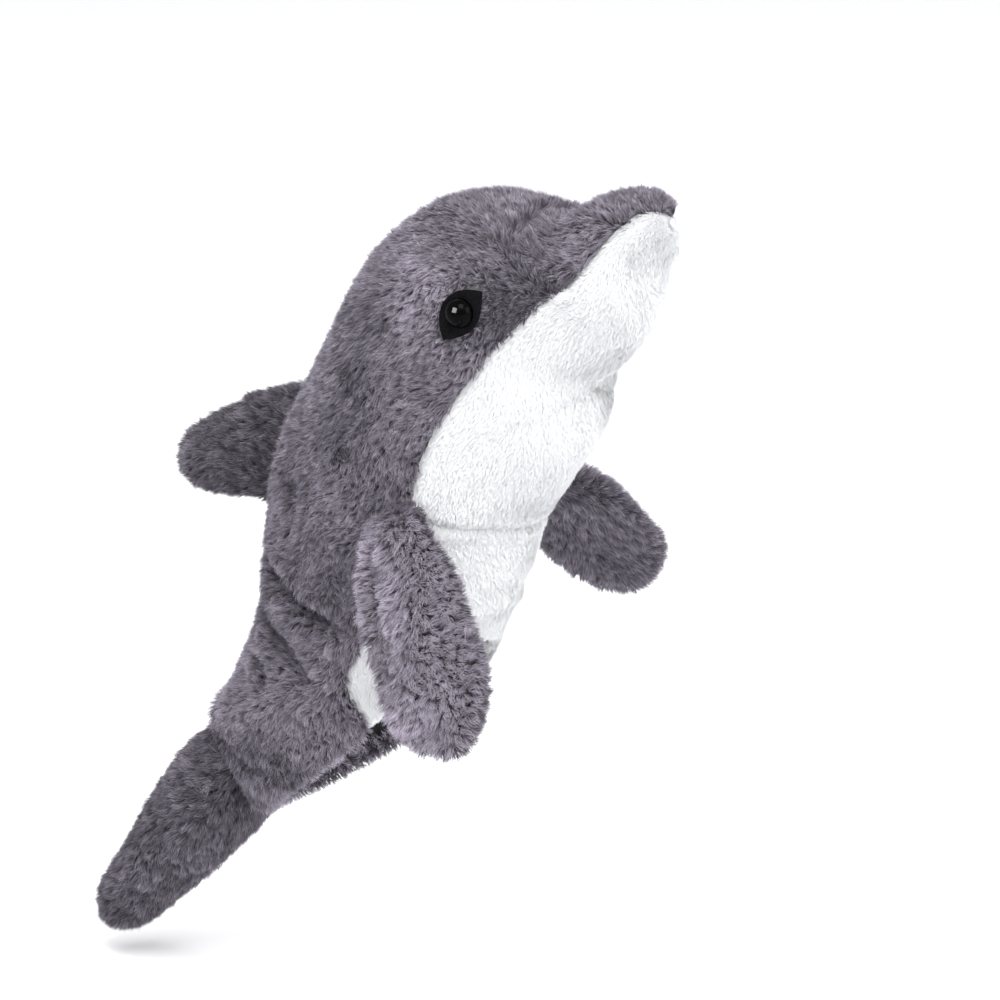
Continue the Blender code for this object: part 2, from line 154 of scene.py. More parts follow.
FRONT_FOLDS = (
    (1.0, 5.0, 0.5, ((15.6, -50), (16.0, -22), (15.8, 8), (16.2, 40))),
    (0.8, 4.0, 0.4, ((17.4, -34), (17.1, -6), (17.5, 30))),
)
LATTICE_STEP = 0.05
# Metres round the lining when it is flat.
LINING_AROUND = 2 * math.pi * 0.062

# ---- eyes
EYE_SECTION = 8.3
EYE_ANGLE = 87.6
EYE_RADIUS = 8.0
EYE_HEIGHT = 6.6
EYE_BASE_LIFT = 2.2
STEM_RADIUS = 2.4
STEM_HOLE = 2.8
STEM_END = 8.6
PATCH_LENGTH = 35.0
PATCH_WIDTH = 21.0
PATCH_LIFT = 0.4
PATCH_THICK = 1.2
PATCH_DIRECTION = (0.66, 0.0, 0.75)

# ---- pile
# Tones near the face: middle on one side, reach, and how much lighter the pile is.
FACE_SPOTS = (((24, 66, 96), 19, 1.0), ((83, 58, 86), 26, -0.4))
GREY_PILE = 7.8
WHITE_PILE = 3.3
FIN_PILE = 8.0
MOST_STRANDS = 40000
# How pile grows: strands for each square centimetre and for each tuft, the spread of directions in
# waves, between tufts and between strands, lean, pull to the tuft's middle, roll and half width.
GREY_STYLE = dict(seed=11, per_cm2=330, tuft=11, swirl=45, tuft_turn=34, stray=20)
GREY_STYLE.update(lean=37, pull=0.34, roll=35, width=0.19)
WHITE_STYLE = dict(seed=12, per_cm2=420, tuft=12, swirl=20, tuft_turn=5, stray=8)
WHITE_STYLE.update(lean=62, pull=0.0, roll=6, width=0.24)
FIN_STYLE = dict(per_cm2=330, tuft=24, swirl=34, tuft_turn=28, stray=18)
FIN_STYLE.update(lean=42, pull=0.3, roll=35, width=0.19)

# ---- fins
ROOT_DEPTH = 7.0
PILE_AT_TIP = 4.5
FIN_WAVES = (20, 0.8)
FILL_INSET = 2.2
FILL_SUNK = 5.0
FILL_START = 6
# Body, sewn panels, depth of the skin, reach of the bend, seed, fan of the pile,
# tone of the inner and outer face, and depth of the crease beside the back edge.
# On the flippers the outer face tone is painted light: that face is painted lighter where the lamps fall on
# it.
FIN_LOOKS = (
    ("tail", ("upper_panel", "lower_panel"), 5.0, 40, 21, 0.4, (-0.13, -0.13), 0.0),
    ("dorsal_fin", ("panel_right", "panel_left"), 5.0, 28, 22, 0.4, (-0.19, -0.19), 0.0),
    ("flipper_right", ("outer_panel", "inner_panel"), 4.6, 28, 23, 1.6, (0.08, 0.68), 7.0),
    ("flipper_left", ("outer_panel", "inner_panel"), 4.6, 28, 24, 1.6, (0.08, 0.68), 0.0),
)

# ---- stage, light and camera
FLOOR_LEVEL = -0.312
FLOOR_FLAT = 7.0
FLOOR_CURVE = 2.2
WALL_TOP = 5.0
LIGHTS_AIM = (0, 0, -0.04)
WORLD_COLOUR = (0.98, 0.985, 1.0, 1)
WORLD_STRENGTH = 1.0
# Name, place, side and power of each square lamp.
SOFTBOXES = (
    ("key_light", (0.75, -1.6, 2.2), 1.5, 56),
    ("side_light", (2.3, -0.4, 1.0), 1.6, 31),
    ("back_light", (-1.6, 1.6, 2.2), 1.5, 22),
    ("eye_light", (-0.75, -2.0, 0.75), 1.1, 380),
)
CAMERA_AZIMUTH = 30
CAMERA_ELEVATION = 12
CAMERA_DISTANCE = 3.2
CAMERA_AIM = (0.0205, 0.0292, -0.0365)
CAMERA_LENS = 213.3


# ==== shape of the body
def cubic(table, where):
    """The rows of a table joined by smooth curves, read at fractional row numbers."""
    where = np.asarray(where, float)
    first = np.clip(np.floor(where).astype(int), 0, len(table) - 2)
    t = (where - first).reshape(where.shape + (1,) * (table.ndim - 1))
    last = len(table) - 1
    a, b, c, d = (table[np.clip(first + k, 0, last)] for k in (-1, 0, 1, 2))
    bend = 2 * a - 5 * b + 4 * c - d
    return b + 0.5 * t * (c - a + t * (bend + t * (3 * (b - c) + d - a)))


def body_point(section, angle):
    """A point of the outer surface. Angle 0 is the front, a quarter turn the right side, a half the back."""
    row = cubic(BODY_SECTIONS, section)
    back_x, back_z, front_x, front_z, half_width, drop = np.moveaxis(row, -1, 0)
    forward = (1 + np.cos(angle)) / 2
    x = back_x + (front_x - back_x) * forward
    z = back_z + (front_z - back_z) * forward - drop * np.sin(angle) ** 2
    return np.stack((x, -half_width * np.sin(angle), z), -1)


def body_slopes(section, angle):
    """How the surface point moves per section and per radian."""
    step = 0.01
    down = body_point(section + step, angle) - body_point(section - step, angle)
    around = body_point(section, angle + step) - body_point(section, angle - step)
    return down / (2 * step), around / (2 * step)


def unit(vectors):
    return vectors / np.maximum(np.linalg.norm(vectors, axis=-1, keepdims=True), 1e-9)


def skin_point(section, angle, depth):
    """The point this deep under the outer surface, square to it. A negative depth is outside."""
    section, angle = np.broadcast_arrays(np.asarray(section, float), np.asarray(angle, float))
    down, around = body_slopes(section, angle)
    return body_point(section, angle) - unit(np.cross(around, down)) * np.asarray(depth, float)[..., None]


def seam_angle(section):
    return np.radians(cubic(SIDE_SEAM[:, None], np.minimum(section, MOUTH))[..., 0])


def smooth(value, low, high):
    """0 below low, 1 above high, and a soft step between them."""
    t = np.clip((value - low) / (high - low), 0, 1)
    return t * t * (3 - 2 * t)


def tangent_frame(section, angle, width_hint, thick_hint):
    """Surface point, outward normal, and two directions in the surface nearest to the hints."""
    middle = body_point(section, angle)
    down, around = body_slopes(section, angle)
    normal = unit(np.cross(around, down))
    width = unit(width_hint - normal * np.dot(width_hint, normal))
    thick = np.cross(normal, width)
    if np.dot(thick, thick_hint) < 0:
        thick = -thick
    return middle, normal, width, thick


def near_point(section, angle, offset, depth):
    """The surface point reached by small steps in the surface, given as vectors, from a section and angle."""
    slopes = np.stack(body_slopes(section, angle), -1)
    steps = offset @ np.linalg.pinv(slopes).T
    return skin_point(section + steps[..., 0], angle + steps[..., 1], depth)


# ==== folds and seams
def line_on_body(points, side):
    """A sewn line or fold as points in space, a few millimetres apart."""
    knots = np.array(points, float)
    where = np.linspace(0, len(knots) - 1, 12 * (len(knots) - 1) + 1)
    path = cubic(knots, where)
    return body_point(path[:, 0], np.radians(path[:, 1]) * side)


def distance_to_line(points, line):
    """How far each point is from a line of short steps, and how far along the line that is, 0 to 1."""
    best = np.full(len(points), 1e9)
    along = np.zeros(len(points))
    for number, (a, b) in enumerate(zip(line, line[1:])):
        step = b - a
        t = np.clip((points - a) @ step / max(step @ step, 1e-9), 0, 1)
        gap = np.linalg.norm(points - a - t[:, None] * step, axis=1)
        nearer = gap < best
        best[nearer] = gap[nearer]
        along[nearer] = (number + t[nearer]) / (len(line) - 1)
    return best, along


def all_lines():
    """Every groove: depth, half breadth, roll beside it, points in space, and whether its ends fade out."""
    lines = []
    for depth, breadth, roll, points in SEWN_LINES:
        for side in (1, -1):
            lines.append((depth, breadth, roll, line_on_body(points, side), False))
    for side, folds in ((1, RIGHT_FOLDS), (-1, LEFT_FOLDS), (1, FRONT_FOLDS)):
        for depth, breadth, roll, points in folds:
            lines.append((depth, breadth, roll, line_on_body(points, side), True))
    rows = np.linspace(0.3, MOUTH, 120)
    for side in (1, -1):
        lines.append((*SEAM_GROOVE, body_point(rows, seam_angle(rows) * side), False))
    rows = np.linspace(CREASE, MOUTH, 120)
    lines.append((*BACK_GROOVE, body_point(rows, np.full(120, math.pi)), False))
    return lines


def waves(points, size, seed):
    """Smooth noise from -1 to 1, with bumps about this many millimetres across."""
    rng = np.random.default_rng(seed)
    total = np.zeros(points.shape[:-1])
    for _ in range(7):
        direction = unit(rng.normal(size=3)) * 2 * math.pi / (size * rng.uniform(1.3, 2.8))
        total += np.sin(points @ direction + rng.uniform(0, 2 * math.pi))
    return np.clip(total / 3.2, -1, 1)


def hollows():
    """How much deeper the skin lies than its plain outline, on a lattice of sections and angles."""
    rows = np.arange(0, MOUTH + LATTICE_STEP, LATTICE_STEP)
    turns = np.radians(np.arange(0, 361))
    section, angle = np.meshgrid(rows, turns, indexing="ij")
    points = body_point(section, angle).reshape(-1, 3)
    depth = sum(waves(points, size, seed) * height for size, seed, height in SKIN_WAVES)
    for deep, breadth, roll, line, fades in all_lines():
        low, high = line.min(0) - 4 * breadth, line.max(0) + 4 * breadth
        near = np.flatnonzero(((points > low) & (points < high)).all(1))
        gap, along = distance_to_line(points[near], line)
        share = smooth(along, 0, 0.25) * smooth(1 - along, 0, 0.25) if fades else 1.0
        groove = deep * np.exp(-((gap / breadth) ** 2))
        beside = roll * np.exp(-(((gap - 2.1 * breadth) / breadth) ** 2))
        depth[near] += (groove - beside) * share
    return depth.reshape(section.shape)


HOLLOW = hollows()


def hollow_at(section, angle):
    """The lattice of hollows, read between its points."""
    row = np.clip(section / LATTICE_STEP, 0, HOLLOW.shape[0] - 1.001)
    column = np.clip(np.degrees(np.mod(angle, 2 * math.pi)), 0, 359.999)
    r, c = row.astype(int), column.astype(int)
    fr, fc = row - r, column - c
    top = HOLLOW[r, c] * (1 - fc) + HOLLOW[r, c + 1] * fc
    low = HOLLOW[r + 1, c] * (1 - fc) + HOLLOW[r + 1, c + 1] * fc
    return top * (1 - fr) + low * fr


def eye_nearness(points, inner, outer):
    """1 within inner of an eye's middle, 0 beyond outer."""
    share = np.zeros(points.shape[:-1])
    for angle in (EYE_ANGLE, -EYE_ANGLE):
        middle = body_point(EYE_SECTION, math.radians(angle))
        gap = np.linalg.norm(points - middle, axis=-1)
        share = np.maximum(share, 1 - smooth(gap, inner, outer))
    return share


def face_tone(points):
    """Paler pile just behind and above each eye, and darker pile on the cheeks."""
    mirrored = points * (1, 0, 1) + np.abs(points) * (0, 1, 0)
    tone = np.zeros(points.shape[:-1])
    for middle, reach, gain in FACE_SPOTS:
        gap = np.linalg.norm(mirrored - middle, axis=-1)
        tone = tone + gain * np.exp(-((gap / reach) ** 2))
    return tone


def greyness(section, angle):
    """0 on the white front, 1 on the grey side, with a narrow step at the seam."""
    from_front = np.abs(np.mod(angle + math.pi, 2 * math.pi) - math.pi)
    half_width = cubic(BODY_SECTIONS, np.minimum(section, MOUTH))[..., 4]
    return smooth((from_front - seam_angle(section)) * half_width, -2.0, 6.0)


def body_skin(row, angle, extra=0.0):
    """The skin that the pile grows from. Rows past the mouth roll in and run back up inside."""
    row, angle = np.broadcast_arrays(np.asarray(row, float), np.asarray(angle, float))
    section = np.where(row <= MOUTH + 1, np.minimum(row, MOUTH), MOUTH - (row - MOUTH - 1) * HEM_INSIDE)
    roll = np.clip(row - MOUTH, 0, 1) * math.pi
    depth = WHITE_DEPTH + (GREY_DEPTH - WHITE_DEPTH) * greyness(section, angle)
    near_eye = eye_nearness(body_point(section, angle), 15, 32)
    depth = depth * (1 - near_eye) + EYE_DEPTH * near_eye
    depth = (depth + hollow_at(section, angle)) * np.interp(section, *BEAK_DEPTH)
    chin = CHIN_TIP * (1 - greyness(section, angle))
    depth = depth - chin * np.interp(section, *CHIN_TIP_SPAN)
    down, _ = body_slopes(np.full_like(section, MOUTH - 0.02), angle)
    point = skin_point(section, angle, depth + extra * np.cos(roll) + HEM_ROLL * (1 - np.cos(roll)))
    return point + unit(down) * ((HEM_ROLL - extra) * np.sin(roll))[..., None]


# ==== fins
class Fin:
    """A stuffed fin lofted from its sewn root on the body through rings of given half axes."""

    def __init__(self, section, angle, root, width_hint, thick_hint):
        self.section, self.angle = section, math.radians(angle)
        self.half_width, self.half_thick = root
        frame = tangent_frame(section, self.angle, width_hint, thick_hint)
        self.middle, self.normal, self.width, self.thick = frame
        self.stations = []
        self.swing = Matrix.Identity(4)

    def add(self, centre, half_width, half_thick, width, thick):
        self.stations.append((np.asarray(centre, float), half_width, half_thick, unit(width), unit(thick)))

    def swing_by(self, pivot, axis, angle):
        """Lays the whole fin over, about its hinge."""
        there = Matrix.Translation(Vector(pivot))
        self.swing = there @ Matrix.Rotation(math.radians(angle), 4, Vector(axis)) @ there.inverted()

    def root_ring(self, inset, turn, depth):
        wide = (self.half_width - inset) * np.cos(turn)
        thick = (self.half_thick - inset) * np.sin(turn)
        offset = wide[:, None] * self.width + thick[:, None] * self.thick
        return near_point(self.section, self.angle, offset, depth)

    def ring(self, station, inset, turn):
        centre, half_width, half_thick, width, thick = station
        wide = max(half_width - inset, 0.5) * np.cos(turn)
        high = max(half_thick - inset, 0.5) * np.sin(turn)
        return centre + wide[:, None] * width + high[:, None] * thick

    def skin(self, inset, rows, columns, sunk):
        """A closed grid of points from inside the body, over the fin, to its tip."""
        turn = np.linspace(0, 2 * math.pi, columns + 1)
        along = unit(self.stations[-1][0] - self.stations[-2][0])
        last = len(self.stations) - 1
        stations = []
        for number, (centre, *rest) in enumerate(self.stations):
            stations.append((centre - along * PILE_AT_TIP * (number / last) ** 2, *rest))
        rings = [self.root_ring(inset, turn, sunk)] + [self.ring(s, inset, turn) for s in stations]
        centre, half_width, half_thick, width, thick = stations[-1]
        tip = (centre + along * max(half_thick - inset, 0.5) * 0.8, 0.5 + inset, 0.5 + inset, width, thick)
        rings.append(self.ring(tip, inset, turn))
        return self.placed(cubic(np.array(rings), np.linspace(0, len(rings) - 1, rows)))

    def placed(self, points):
        turned = np.array(self.swing)
        return points @ turned[:3, :3].T + turned[:3, 3]

    def root_middle(self, depth):
        return self.placed(near_point(self.section, self.angle, np.zeros((1, 3)), depth))[0]


def spine_fin(fin, spine, width, thick):
    """Adds rings centred in the mirror plane: x, z, half width and half thickness."""
    for x, z, half_width, half_thick in spine:
        fin.add((x, 0, z), half_width, half_thick, width, thick)
    return fin


def tail_fin():
    spine = (
        (-136, -205, 42.5, 28.5),
        (-150, -223, 41, 27.5),
        (-171, -248, 38, 23.5),
        (-189, -269, 34, 20),
        (-202, -285, 28, 16),
        (-209, -294, 19, 10.5),
        (-212, -298, 8, 4.3),
    )
    along = unit((-0.61, 0.0, -0.79))
    fin = Fin(18.38, 180, (40, 28), (0, 1, 0), (0, 0, 1))
    return spine_fin(fin, spine, (0, 1, 0), np.cross((0, 1, 0), along))


def dorsal_fin():
    spine = (
        (-107, -15, 32, 17),
        (-122, -18, 27, 17),
        (-140, -23, 22.5, 15.5),
        (-153, -26, 18.5, 13),
        (-162, -29, 12, 9),
        (-166, -30, 5, 4.3),
    )
    fin = Fin(12.55, 180, (38, 15), (-0.2, 0, 1), (0, -1, 0))
    return spine_fin(fin, spine, (-0.2, 0, 0.98), (0, -1, 0))


def flipper_fin(angle, root_line, hang, lay):
    """A flipper sewn on along its top edge. It is made hanging, and then laid out by the angle given."""
    fin = Fin(13.35, angle, (17, 8.5), root_line, (0, 0, 1))
    hang = unit(hang)
    width = unit(fin.width - hang * np.dot(fin.width, hang))
    face = np.cross(hang, width)
    if np.dot(face, fin.normal) < 0:
        face = -face
    rows = (
        (8, 5, 20, 9.0),
        (12, 21, 27, 9.5),
        (12, 46, 32.5, 10),
        (11, 74, 34.5, 10),
        (10, 99, 32, 9.5),
        (9, 117, 25, 8.5),
        (8, 128, 15, 6.5),
        (8, 133, 6, 4.3),
    )
    for index, (out, down, half_width, half_thick) in enumerate(rows):
        thick = fin.thick + face if index == 0 else face
        fin.add(fin.middle + fin.normal * out + hang * down, half_width, half_thick, width, thick)
    pivot = fin.middle + fin.thick * fin.half_thick + fin.normal * 0.6
    fin.swing_by(pivot, fin.width, lay)
    return fin


# ==== making meshes
def full_turn(count):
    return np.linspace(0, 2 * math.pi, count, endpoint=False)


def new_piece(name, mesh, material):
    mesh.materials.append(material)
    made = bpy.data.objects.new(name, mesh)
    bpy.context.scene.collection.objects.link(made)
    return made


def link(name, mesh, material, body):
    """A new piece that moves with one body."""
    made = new_piece(name, mesh, material)
    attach(made, body)
    return made


def mesh_of(name, points, faces):
    """A smooth-shaded mesh in metres with its faces turned outwards."""
    mesh = bpy.data.meshes.new(name)
    mesh.from_pydata((np.asarray(points, float).reshape(-1, 3) * MM).tolist(), [], faces)
    mesh.polygons.foreach_set("use_smooth", [True] * len(mesh.polygons))
    mesh.update()
    corners = np.empty(len(mesh.vertices) * 3)
    mesh.vertices.foreach_get("co", corners)
    mesh.calc_loop_triangles()
    triangles = np.empty(len(mesh.loop_triangles) * 3, int)
    mesh.loop_triangles.foreach_get("vertices", triangles)
    a, b, c = corners.reshape(-1, 3)[triangles.reshape(-1, 3)].swapaxes(0, 1)
    if np.einsum("ij,ij->", a, np.cross(b, c)) < 0:
        mesh.flip_normals()
    return mesh


def grid_faces(rows, columns, wrap=False):
    here = np.arange(rows * columns).reshape(rows, columns)
    if wrap:
        here = np.concatenate((here, here[:, :1]), 1)
    faces = np.stack((here[:-1, :-1], here[:-1, 1:], here[1:, 1:], here[1:, :-1]), -1)
    return faces.reshape(-1, 4).tolist()


def shell_mesh(name, outer, inner):
    """A sheet of cloth with four edges, between an outer and an inner grid."""
    rows, columns = outer.shape[:2]
    count = rows * columns
    faces = grid_faces(rows, columns)
    faces += [tuple(corner + count for corner in face[::-1]) for face in faces]
    rim = list(range(columns)) + [row * columns + columns - 1 for row in range(1, rows)]
    rim += [count - 1 - column for column in range(1, columns)]
    rim += [row * columns for row in range(rows - 2, 0, -1)]
    for a, b in zip(rim, rim[1:] + rim[:1]):
        faces.append((b, a, a + count, b + count))
    return mesh_of(name, np.concatenate((outer.reshape(-1, 3), inner.reshape(-1, 3))), faces)


def tube_mesh(name, rings, first_tip=None, last_tip=None):
    """Closed rings joined in order. Tips close the ends. Without them the last ring joins the first."""
    rows, columns = rings.shape[:2]
    faces = grid_faces(rows, columns, wrap=True)
    points = rings.reshape(-1, 3)
    last = (rows - 1) * columns
    beside = [(column, (column + 1) % columns) for column in range(columns)]
    if first_tip is None:
        faces += [(last + a, last + b, b, a) for a, b in beside]
        return mesh_of(name, points, faces)
    tip = len(points)
    faces += [(tip, b, a) for a, b in beside] + [(tip + 1, last + a, last + b) for a, b in beside]
    return mesh_of(name, np.concatenate((points, [first_tip], [last_tip])), faces)


# ==== pile
def grid_normals(points, outward):
    """Unit normals of a grid of points, turned to the side that the outward sign says."""
    down, across = np.gradient(points, axis=0), np.gradient(points, axis=1)
    return unit(np.cross(across, down)) * outward


def mix_at(values, row, column, down, across):
    """Values of a grid inside its cells, from the four corners."""
    shape = (-1,) + (1,) * (values.ndim - 2)
    down, across = down.reshape(shape), across.reshape(shape)
    top = values[row, column] * (1 - across) + values[row, column + 1] * across
    low = values[row + 1, column] * (1 - across) + values[row + 1, column + 1] * across
    return top * (1 - down) + low * down


def sow(points, share, per_cm2, rng):
    """Roots spread evenly by area over a grid: their cell rows, cell columns and places in the cells."""
    diagonal = points[1:, 1:] - points[:-1, :-1]
    other = points[1:, :-1] - points[:-1, 1:]
    area = np.linalg.norm(np.cross(diagonal, other), axis=-1) / 2 * share[:-1, :-1]
    total = np.cumsum(area.ravel())
    count = int(total[-1] * per_cm2 / 100)
    picked = (np.arange(count) + rng.random(count)) / count * total[-1]
    cell = np.minimum(np.searchsorted(total, picked), area.size - 1)
    row, column = np.divmod(cell, area.shape[1])
    return row, column, rng.random(count), rng.random(count)


def nearest_tuft(roots, spacing, rng):
    """The number of the nearest tuft middle for each root."""
    count = max(int(len(roots) / spacing), 1)
    middles = roots[rng.permutation(len(roots))[:count]]
    tree = KDTree(count)
    for number, place in enumerate(middles.tolist()):
        tree.insert(place, number)
    tree.balance()
    return np.array([tree.find(place)[1] for place in roots.tolist()])


def tuft_mean(values, tuft):
    """The mean of the values of each tuft, given back for each strand."""
    size = np.maximum(np.bincount(tuft), 1)
    sums = np.stack([np.bincount(tuft, values[:, axis]) for axis in range(3)], -1)
    return (sums / size[:, None])[tuft]


def grow(roots, normal, comb, length, style, rng):
    """Root, bend and tip points of every strand, with tufts drawn together and leaning each its own way."""
    tuft = nearest_tuft(roots, style["tuft"], rng)
    tufts = tuft.max() + 1
    swirl = waves(roots, 38, style["seed"]) + 0.55 * waves(roots, 11, style["seed"] + 90)
    sway = swirl * style["swirl"] + rng.normal(0, style["tuft_turn"], tufts)[tuft]
    sway = np.radians(sway + rng.normal(0, style["stray"], len(roots)))[:, None]
    side = np.cross(normal, comb)
    way = unit(comb * np.cos(sway) + side * np.sin(sway))
    lean = style["lean"] + rng.normal(0, 6, tufts)[tuft] + rng.normal(0, 10, len(roots))
    first, second = np.radians(lean - 15)[:, None], np.radians(lean + 17)[:, None]
    uneven = rng.normal(1, 0.1, tufts)[tuft] + rng.normal(0, 0.1, len(roots))
    size = (length * np.clip(uneven, 0.5, 1.35))[:, None]
    bend = roots + size * 0.5 * (normal * np.cos(first) + way * np.sin(first))
    tip = bend + size * 0.5 * (normal * np.cos(second) + way * np.sin(second))
    pull = style["pull"]
    bend = bend + (tuft_mean(bend, tuft) - bend) * pull * 0.45
    tip = tip + (tuft_mean(tip, tuft) - tip) * pull
    tone = 0.3 + 0.13 * rng.normal(0, 1, tufts)[tuft] + 0.19 * rng.normal(0, 1, len(roots))
    return bend, tip, np.clip(tone, 0, 1)


def strand_mesh(name, root, bend, tip, tone, aside):
    """Thin pointed ribbons. One UV map holds tone and height, the other a cell for each to be baked in."""
    count = len(root)
    points = np.stack((root - aside, root + aside, bend - aside * 0.85, bend + aside * 0.85, tip), 1)
    corners = np.array((0, 1, 3, 2, 2, 3, 4))
    across = np.array((0.0, 1.0, 1.0, 0.0, 0.0, 1.0, 0.5))
    height = np.array((0.0, 0.0, 0.5, 0.5, 0.5, 0.5, 1.0))
    mesh = bpy.data.meshes.new(name)
    mesh.vertices.add(count * 5)
    mesh.vertices.foreach_set("co", (points * MM).ravel())
    loops = (np.arange(count)[:, None] * 5 + corners).ravel()
    mesh.loops.add(len(loops))
    mesh.loops.foreach_set("vertex_index", loops)
    mesh.polygons.add(count * 2)
    mesh.polygons.foreach_set("loop_start", (np.arange(count)[:, None] * 7 + np.array((0, 4))).ravel())
    mesh.polygons.foreach_set("use_smooth", np.ones(count * 2, bool))
    cells = math.ceil(math.sqrt(count))
    row, column = np.divmod(np.arange(count), cells)
    cell = np.stack((column[:, None] + 0.2 + 0.6 * across, row[:, None] + 0.15 + 0.7 * height), -1) / cells
    strand = np.stack((np.repeat(tone[:, None], 7, 1), np.repeat(height[None], count, 0)), -1)
    mesh.uv_layers.new(name="Strand").uv.foreach_set("vector", strand.ravel())
    mesh.uv_layers.new(name="OFBake").uv.foreach_set("vector", cell.ravel())
    mesh.update(calc_edges=True)
    return mesh


def broad_side(root, tip, normal, width, roll, rng):
    """Half the width of each ribbon as a vector: mostly flat to the skin, rolled a little at random."""
    growth = unit(tip - root)
    flat = unit(np.cross(growth, normal))
    roll = np.radians(rng.normal(0, roll, len(root)))[:, None]
    return (flat * np.cos(roll) + np.cross(growth, flat) * np.sin(roll)) * width[:, None]


def coat(name, points, outward, share, comb, length, style, material, place):
    """Pile over a grid of points, in pieces of a size that can be exported whole."""
    rng = np.random.default_rng(style["seed"])
    cells = sow(points, share, style["per_cm2"], rng)
    root = mix_at(points, *cells)
    normal = unit(mix_at(grid_normals(points, outward), *cells))
    comb = mix_at(comb, *cells)
    comb = unit(comb - normal * np.einsum("ij,ij->i", comb, normal)[:, None])
    length = mix_at(length[..., None], *cells)[:, 0]
    bend, tip, tone = grow(root, normal, comb, length, style, rng)
    if "lighter" in style:
        tone = np.clip(tone + mix_at(style["lighter"][..., None], *cells)[:, 0], 0, 1)
    width = style["width"] * rng.uniform(0.75, 1.25, len(root))
    aside = broad_side(root, tip, normal, width, style["roll"], rng)
    parts = math.ceil(len(root) / MOST_STRANDS)
    for number, group in enumerate(np.array_split(np.arange(len(root)), parts)):
        label = name if parts == 1 else "%s_%d" % (name, number + 1)
        low = root[group] - normal[group] * 0.5
        mesh = strand_mesh(label, low, bend[group], tip[group], tone[group], aside[group])
        place(new_piece(label, mesh, material))


# ==== materials
class Paint:
    """A Principled material with short calls for its nodes."""

    def __init__(self, name, **values):
        self.material = bpy.data.materials.new(name)
        self.material.use_nodes = True
        self.tree = self.material.node_tree
        self.shader = self.tree.nodes["Principled BSDF"]
        self.set(**values)

    def set(self, **values):
        for key, value in values.items():
            self.shader.inputs[key.replace("_", " ")].default_value = value

    def node(self, kind, inputs=(), **settings):
        made = self.tree.nodes.new("ShaderNode" + kind)
        for key, value in settings.items():
            setattr(made, key, value)
        for key, value in dict(inputs).items():
            if isinstance(value, bpy.types.NodeSocket):
                self.tree.links.new(value, made.inputs[key])
            else:
                made.inputs[key].default_value = value
        return made

    def feed(self, name, socket):
        self.tree.links.new(socket, self.shader.inputs[name])

    def place(self):
        return self.node("TexCoord").outputs["Object"]

    def noise(self, vector, scale, detail=2.0, rough=0.5):
        made = self.node("TexNoise", {"Vector": vector, "Scale": scale, "Detail": detail, "Roughness": rough})
        return made.outputs["Fac"]

    def ramp(self, value, stops):
        made = self.node("ValToRGB", {"Fac": value})
        band = made.color_ramp.elements
        while len(band) < len(stops):
            band.new(0.5)
        for element, (position, colour) in zip(band, stops):
            element.position = position
            element.color = (*colour, 1) if len(colour) == 3 else colour
        return made.outputs["Color"]

    def mix(self, kind, factor, a, b):
        made = self.node("Mix", {0: factor, 6: a, 7: b}, data_type="RGBA", blend_type=kind)
        return made.outputs[2]

    def math(self, operation, a, b):
        return self.node("Math", {0: a, 1: b}, operation=operation).outputs[0]

    def bump(self, height, strength, distance):
        made = self.node("Bump", {"Height": height, "Strength": strength, "Distance": distance})
        self.feed("Normal", made.outputs["Normal"])


def pile_paint(name, root, middle, tip, patches, sheen, tint):
    """Pile colour: dark at the root, light at the tip, another tone for each strand and soft patches."""
    paint = Paint(name, Roughness=0.82, Specular_IOR_Level=0.0)
    paint.set(Sheen_Weight=sheen, Sheen_Roughness=0.45, Sheen_Tint=(*tint, 1))
    strand = paint.node("SeparateXYZ", {"Vector": paint.node("UVMap", uv_map="Strand").outputs["UV"]})
    colour = paint.ramp(strand.outputs["Y"], ((0.0, root), (0.5, middle), (1.0, tip)))
    tone = paint.ramp(strand.outputs["X"], ((0.0, (patches[0],) * 3), (1.0, (patches[1],) * 3)))
    colour = paint.mix("MULTIPLY", 1.0, colour, tone)
    for scale in (30.0, 110.0):
        noise = paint.noise(paint.place(), scale)
        cloud = paint.ramp(noise, ((0.32, (patches[2],) * 3), (0.68, (1.0, 1.0, 1.0))))
        colour = paint.mix("MULTIPLY", 1.0, colour, cloud)
    paint.feed("Base Color", colour)
    return paint.material


def grained_paint(name, grain, stops, bump=None, **values):
    """One noise (scale, detail, roughness) gives both the colour and the bumps (strength, height)."""
    paint = Paint(name, **values)
    noise = paint.noise(paint.place(), *grain)
    paint.feed("Base Color", paint.ramp(noise, stops))
    if bump:
        paint.bump(noise, *bump)
    return paint.material


def skin_paint(name, dark, light):
    """Knitted backing that shows between the tufts."""
    return grained_paint(name, (420, 3, 0.6), ((0.3, dark), (0.7, light)), (0.6, 0.0008), Roughness=0.95)


def knit_paint(name, dark, light, scale):
    """Fine jersey: crossed wales and courses with a little fuzz."""
    paint = Paint(name, Roughness=0.88, Sheen_Weight=0.25, Sheen_Roughness=0.5)
    place = paint.place()
    wales = paint.node("TexWave", {"Vector": place, "Scale": scale, "Distortion": 0.6, "Detail": 1.0})
    wales.bands_direction = "Z"
    courses = paint.node("TexWave", {"Vector": place, "Scale": scale * 0.8, "Distortion": 0.9, "Detail": 1.0})
    courses.bands_direction = "DIAGONAL"
    weave = paint.math("MULTIPLY", wales.outputs["Fac"], courses.outputs["Fac"])
    fuzz = paint.noise(place, 900.0, 2.0, 0.6)
    shade = paint.math("ADD", weave, paint.math("MULTIPLY", fuzz, 0.5))
    paint.feed("Base Color", paint.ramp(shade, ((0.1, dark), (1.0, light))))
    paint.bump(weave, 0.5, 0.0004)
    return paint.material


